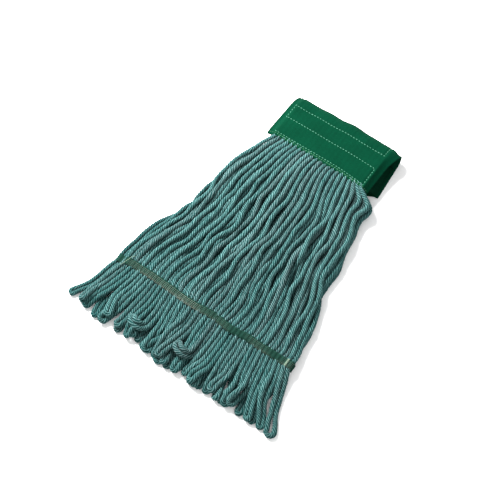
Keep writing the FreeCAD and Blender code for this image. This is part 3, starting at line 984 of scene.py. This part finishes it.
    def settle(self, rounds):
        """Pushes touching strands apart and lets them down, while each keeps its waves."""
        held = np.zeros(len(self.y), bool)
        held[:2] = True
        held[self.tape_rows] = True
        free = ~held[:, None]
        x, z, want_x, want_z = self.x, self.z, self.want_x, self.want_z
        reach = 2 * CONTACT * self.row_radius[:, None, None]
        both = self.live[:, :, None] & self.live[:, None, :]
        both &= ~np.eye(self.count, dtype=bool)[None]
        floor = self.row_radius[:, None] * 0.97
        rank = self.slot + 0.5 * self.side
        order = np.sign(rank[:, None] - rank[None, :])
        for _ in range(rounds):
            for now, want in ((x, want_x), (z, want_z)):
                smooth = (now[:-2] + now[2:] - want[:-2] - want[2:]) / 2 + want[1:-1]
                now[1:-1] += STRAIGHTEN * (smooth - now[1:-1]) * free[1:-1]
            x += KEEP_X * (want_x - x) * free
            z += (KEEP_Z * (want_z - z) - SINK) * free
            gap_x = x[:, :, None] - x[:, None, :]
            gap_z = z[:, :, None] - z[:, None, :]
            distance = np.sqrt(gap_x ** 2 + gap_z ** 2) + 1e-6
            push = np.where(both & (distance < reach), (reach - distance) / distance * PUSH, 0)
            gap_x = np.where(np.abs(gap_x) < 1e-3, 1e-3 * order, gap_x)
            x += (push * gap_x).sum(axis=2) * free
            z += (push * gap_z).sum(axis=2) * free
            np.maximum(z, floor, out=z)
            x[held] = want_x[held]
            z[held] = want_z[held]

    def path(self, strand, first, last):
        rows = slice(first, last + 1)
        return np.stack([self.x[rows, strand], self.y[rows], self.z[rows, strand]], axis=-1)

    def inside_band(self, strand):
        """The strand's way inside the headband, from the fold to the hem."""
        side = self.side[strand]
        layer = FLAP_LAYERS[self.slot[strand] % 2]
        start = np.array([self.x[0, strand], FOLD_Y, FOLD_Z + side * layer])
        end = self.path(strand, 0, 0)[0]
        return np.array([start + (end - start) * t for t in (0, 0.33, 0.66)])

    def skirt(self, strand):
        """A strand's way and thickness from the fold through the flap and down to the tail band."""
        middle = self.tape_rows[1]
        body = self.path(strand, 0, middle)
        path = np.vstack([self.inside_band(strand), body])
        scale = np.concatenate([[FLAP_YARN] * 3, self.row_radius[:middle + 1] / self.radius])
        return path, scale

    def curl_over(self, path, middle):
        """Rolls the end of a loop sideways on to its neighbours. middle runs between its legs, to the end."""
        start = middle[0, :2]
        ahead = (middle[-1, :2] - start) / np.linalg.norm(middle[-1, :2] - start)
        sideways = np.array([ahead[1], -ahead[0]])
        past = (path[:, :2] - start) @ ahead
        beside = (path[:, :2] - start) @ sideways
        angle = np.clip(past, 0, None) / CURL_RADIUS
        arm = CURL_RADIUS - beside
        rolled = start + np.outer(CURL_RADIUS - arm * np.cos(angle), sideways) + np.outer(
            arm * np.sin(angle) + np.minimum(past, 0), ahead)
        return np.column_stack([rolled, path[:, 2] + CURL_LIFT * step(angle, 0.1, 1.6)])

    def loop(self, first):
        """Both legs of a loop below the tail band, and the round end that joins them."""
        middle = self.tape_rows[1]
        last = self.last[first]
        down = self.path(first, middle, last)
        up = self.path(first + 1, middle, last)
        ends = down[-1], up[-1]
        centre = (ends[0] + ends[1]) / 2
        arm = ends[0] - centre
        heading = (down[-1] - down[-3]) + (up[-1] - up[-3])
        heading -= arm * (heading @ arm) / (arm @ arm)
        heading *= max(np.linalg.norm(arm), 3.2) / np.linalg.norm(heading)
        turn = [centre + arm * math.cos(a) + heading * math.sin(a)
                for a in np.linspace(0, math.pi, 7)[1:-1]]
        path = np.vstack([down, turn, up[::-1]])
        if first // 2 in self.curled:
            path = self.curl_over(path, (down[-8:] + up[-8:]) / 2)
        scale = np.ones(len(path))
        legs = self.row_radius[middle:last + 1] / self.radius
        scale[:len(legs)] = legs
        scale[-len(legs):] = legs[::-1]
        return path, scale


def smooth_yarn(pairs, parts=3):
    """Smooth paths and their thickness from (points, scale) pairs."""
    paths, radii = [], []
    for k, (path, scale) in enumerate(pairs):
        dense = eased(np.column_stack([path, scale]), parts)
        y = dense[:, 1]
        paths.append(dense[:, :3])
        radii.append(dense[:, 3] * (0.92 + 0.14 * (0.618 * k % 1) + 0.035 * np.sin(y / 5.3 + 2.4 * k)
                                    + 0.03 * np.sin(y / 11.9 + 5.1 * k)))
    return paths, radii


def fold_strands(lay):
    """The strands inside the fold, between the two flaps."""
    pairs = []
    for strand in range(lay.half):
        other = strand + lay.half
        layer = FLAP_LAYERS[lay.slot[strand] % 2]
        turn = np.linspace(-math.pi / 2, math.pi / 2, 9)
        x = lay.x[0, other] + (lay.x[0, strand] - lay.x[0, other]) * (turn / math.pi + 0.5)
        path = np.stack([x, FOLD_Y + layer * np.cos(turn), FOLD_Z + layer * np.sin(turn)], axis=-1)
        pairs.append((path, np.full(len(path), 0.68)))
    return pairs


class MOP_OT_yarn(bpy.types.Operator):
    """Lays and twists all the yarn: inside the headband, the two skirts and the two fringes"""
    bl_idname = "mop.yarn"
    bl_label = "Yarn"

    def execute(self, context):
        settings = context.scene.mop_yarn
        material = finish_named("mop_yarn", yarn_finish)
        lay = Lay(settings)
        lay.settle(320)
        for side, name in SIDES:
            strands = np.flatnonzero(lay.side == side)
            for layer, remainder, seed in (("outer", 0, 3), ("inner", 1, 5)):
                chosen = [s for s in strands if lay.slot[s] % 2 == remainder]
                paths, radii = smooth_yarn([lay.skirt(s) for s in chosen])
                piece = yarn_piece("skirt_" + layer + "_" + name, paths, radii, material, seed + side)
                nodes = [layer + "_strands_" + name]
                if layer == "outer":
                    nodes.append("yarn_core_" + name)
                stands_for(piece, "yarn", *nodes)
                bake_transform(piece)
            paths, radii = smooth_yarn([lay.loop(s) for s in strands[::2]])
            piece = yarn_piece("fringe_" + name, paths, radii, material, 8 + side)
            stands_for(piece, "yarn", "fringe_loops_" + name)
            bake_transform(piece)
        paths, radii = smooth_yarn(fold_strands(lay))
        fold = yarn_piece("yarn_in_fold", paths, radii, material, 12, ring_step=2.2 * MM)
        stands_for(fold, "yarn", "yarn_core_fold")
        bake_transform(fold)
        return {"FINISHED"}


# ---------------------------------------------------------------- tail bands

TAIL_HALF_WIDTH = (TAIL_HIGH[1] - TAIL_LOW[1]) / 2
TAIL_FIRST = strand_ends("outer_strands_front")[1][0][0] - BAND_MIDDLE
TAIL_PITCH = strand_ends("inner_strands_front")[1][0][0] - BAND_MIDDLE - TAIL_FIRST
TAIL_ROWS = (-4.7, -3.3, -1.5, 0.5, 2.6)
TAIL_CUT = 4.5        # the tapes stop short of the frame's left end
RUNG_LEAN = 0.35
TACK_PLACE = 10.5     # from the right end


def tail_surface(across, down, side, layer):
    """A tail tape's face. layer is its distance from the middle of the two halves, down from its own middle."""
    ripple = 0.5 * np.cos(2 * math.pi * (across - TAIL_FIRST) / TAIL_PITCH) - 0.5
    ripple += 0.35 * np.sin(across * 0.21 + 0.6)
    rows = sum(near(down, row, 0.8) for row in TAIL_ROWS)
    edge = 0.9 * step(np.abs(down), TAIL_HALF_WIDTH - 1.8, TAIL_HALF_WIDTH + 0.4)
    end = 2.6 * step(np.abs(across), TAIL_HALF_LENGTH - 4, TAIL_HALF_LENGTH) ** 2
    z = TAIL_MID_Z + side * (layer + ripple * 0.8 - 0.25 * rows - edge - end)
    sag = -3.2 * near(across, 37, 17) - 1.2 * near(across, -22, 22) + 0.8 * np.sin(across * 0.05)
    y = TAIL_Y + down + sag
    x = BAND_MIDDLE + across + (tail_shift(across) if side == BACK else 0)
    return np.stack([x, y, np.maximum(z, 0.05)], axis=-1)


def tail_tape(name, side, layer, faces_out, material):
    across = np.linspace(-TAIL_HALF_LENGTH + TAIL_CUT, TAIL_HALF_LENGTH, 340)
    down = np.linspace(-TAIL_HALF_WIDTH, TAIL_HALF_WIDTH, 12)
    grid_down, grid_across = np.meshgrid(down, across, indexing="ij")
    points = tail_surface(grid_across, grid_down, side, layer)
    flat = np.stack([grid_across, grid_down], axis=-1)
    if side * faces_out < 0:
        points, flat = points[::-1], flat[::-1]
    return cloth(name, points, flat, 0.7 * MM, material)


class MOP_OT_tail_bands(bpy.types.Operator):
    """Makes the tail bands: two tapes on each half, their chain stitching, bar tacks and a loose end"""
    bl_idname = "mop.tail_bands"
    bl_label = "Tail bands"

    def execute(self, context):
        colours = context.scene.mop_colours
        band = context.scene.mop_band
        tape = finish_named("tail_weave", tape_finish, colours.tail_tape, 0.5 * MM)
        tan = finish_named("chain_thread", thread_finish, colours.chain, tuple(colours.tail_tape), 22.0)
        tack_thread = finish_named("tack_thread", thread_finish, colours.tack)
        top = TAIL_HIGH[2] - TAIL_MID_Z
        bottom = span("tail_tape_inner_front")[0][2] - TAIL_MID_Z
        for side, name in SIDES:
            outer = tail_tape("tail_tape_" + name + "_outside", side, top, 1, tape)
            inner = tail_tape("tail_tape_" + name + "_inside", side, bottom + 0.6, -1, tape)
            for piece, node in ((outer, "tail_tape_outer_" + name), (inner, "tail_tape_inner_" + name)):
                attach(piece, name + "_skirt")
                stands_for(piece, "tail_tape", node)
            end = TAIL_HALF_LENGTH - 1.5
            rows, rungs = [], []
            for row in TAIL_ROWS:
                x = np.arange(TAIL_CUT - end + 4, end, 1.2)
                rows.append(tail_surface(x, np.full(len(x), row), side, top + 0.22))
            down = np.linspace(*TAIL_ROWS[:2], 4)
            for place in np.arange(TAIL_CUT - end + 6, end - 7, band.chain / MM):
                rungs.append(tail_surface(place + (down - down[0]) * RUNG_LEAN, down, side, top + 0.2))
            chain = stitch_piece("chain_rows_" + name, rows, band.chain / MM, 0.3, 0.55, 0.6, tan, seed=2)
            zigzag = stitch_piece("chain_rungs_" + name, rungs, 1.4, -0.1, 0.4, 0.4, tan, seed=6)
            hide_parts("tail_stitching_" + name)
            right = TAIL_HALF_LENGTH - TACK_PLACE
            down = np.linspace(-TAIL_HALF_WIDTH + 0.5, TAIL_HALF_WIDTH - 0.5, 18)
            bars = [tail_surface(right + k * 0.75 + 0 * down, down, side, top + 0.3) for k in range(3)]
            tack = stitch_piece("bar_tack_" + name, bars, 1.3, -0.3, 0.9, 0.8, tack_thread, seed=3)
            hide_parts("tail_bar_tack_" + name)
            pieces = [(chain, "tail_thread"), (zigzag, "tail_thread"), (tack, "bar_tack_thread")]
            if side == FRONT:
                left = tail_surface(TAIL_CUT - TAIL_HALF_LENGTH + 4, 0.0, side, top)
                way = left + np.array([(-4, -9, 0.4), (-2.2, -5.5, 1.4), (-0.4, 0, 1.6), (1.4, 5.5, 2.0),
                                       (3.6, 9, 1.4)])
                loose = stitch_piece("loose_thread_front", [eased(way, 8)], 1.1, -0.5, 0.6, 0.6, tack_thread)
                pieces.append((loose, "tail_thread"))
            for piece, slot in pieces:
                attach(piece, name + "_skirt")
        return {"FINISHED"}


# ---------------------------------------------------------------- stage

FLOOR_HALF = 12.0                 # metres
AIM = (-7.9, -215.8)              # where the camera looks, from the middle of the fold's outermost line
LIGHTS = (("key", (-1.05, 0.3, 1.0), 0.65, 98), ("fill", (1.0, -1.3, 1.6), 1.6, 12))
SKY = 0.86


def area_light(name, place, size, power):
    """A soft light at a place, in metres, turned towards the origin."""
    data = bpy.data.lights.new(name, "AREA")
    data.size = size
    data.energy = power
    lamp = new_object(name, data)
    lamp.location = place
    lamp.rotation_euler = (-Vector(place)).to_track_quat("-Z", "Y").to_euler()


class MOP_OT_stage(bpy.types.Operator):
    """Sets a pale floor, soft lights and the camera"""
    bl_idname = "mop.stage"
    bl_label = "Stage"

    def execute(self, context):
        settings = context.scene.mop_stage
        shape = bpy.data.meshes.new("floor")
        corners = ((-1, -1), (1, -1), (1, 1), (-1, 1))
        shape.from_pydata([(x * FLOOR_HALF, y * FLOOR_HALF, 0) for x, y in corners], [], [(0, 1, 2, 3)])
        shape.materials.append(finish_named("pale_floor", floor_finish))
        floor = new_object("floor", shape)
        target = Vector(((BAND_MIDDLE + AIM[0]) * MM, (FOLD_Y + FOLD_RADIUS + AIM[1]) * MM, 0))
        a, e = settings.azimuth, settings.elevation
        back = Vector((math.sin(a) * math.cos(e), -math.cos(a) * math.cos(e), math.sin(e)))
        data = bpy.data.cameras.new("camera")
        data.lens = settings.lens
        data.sensor_width = 36
        data.clip_end = 50
        camera = new_object("camera", data)
        camera.location = target + back * settings.distance
        camera.rotation_mode = "QUATERNION"
        camera.rotation_quaternion = (-back).to_track_quat("-Z", "Y")
        context.scene.camera = camera
        for light in LIGHTS:
            area_light(*light)
        world = bpy.data.worlds.new("studio")
        world.use_nodes = True
        background = world.node_tree.nodes["Background"].inputs
        background["Color"].default_value = (1, 1, 1, 1)
        background["Strength"].default_value = SKY
        context.scene.world = world
        context.scene.view_settings.view_transform = "Standard"
        return {"FINISHED"}


# ---------------------------------------------------------------- add-on

class MOP_PT_panel(bpy.types.Panel):
    """Lists the steps that build the mop head"""
    bl_idname = "MOP_PT_panel"
    bl_label = "Mop head"
    bl_space_type = "VIEW_3D"
    bl_region_type = "UI"
    bl_category = "Mop head"

    def draw(self, context):
        for operator in OPERATORS:
            self.layout.operator(operator.bl_idname)
        for settings in ("mop_yarn", "mop_band", "mop_colours", "mop_stage"):
            group = getattr(context.scene, settings)
            box = self.layout.box()
            for name in group.__annotations__:
                box.prop(group, name)


SETTINGS = {"mop_yarn": YarnSettings, "mop_band": BandSettings, "mop_colours": ColourSettings,
            "mop_stage": StageSettings}
OPERATORS = (MOP_OT_headband, MOP_OT_sewing, MOP_OT_yarn, MOP_OT_tail_bands, MOP_OT_stage)


def register():
    for name, group in SETTINGS.items():
        bpy.utils.register_class(group)
        setattr(bpy.types.Scene, name, bpy.props.PointerProperty(type=group))
    for operator in OPERATORS:
        bpy.utils.register_class(operator)
    bpy.utils.register_class(MOP_PT_panel)


def unregister():
    bpy.utils.unregister_class(MOP_PT_panel)
    for operator in OPERATORS:
        bpy.utils.unregister_class(operator)
    for name, group in SETTINGS.items():
        delattr(bpy.types.Scene, name)
        bpy.utils.unregister_class(group)


def main():
    register()
    for operator in OPERATORS:
        family, name = operator.bl_idname.split(".")
        getattr(getattr(bpy.ops, family), name)()
    bpy.context.view_layer.update()


if __name__ == "__main__":
    main()
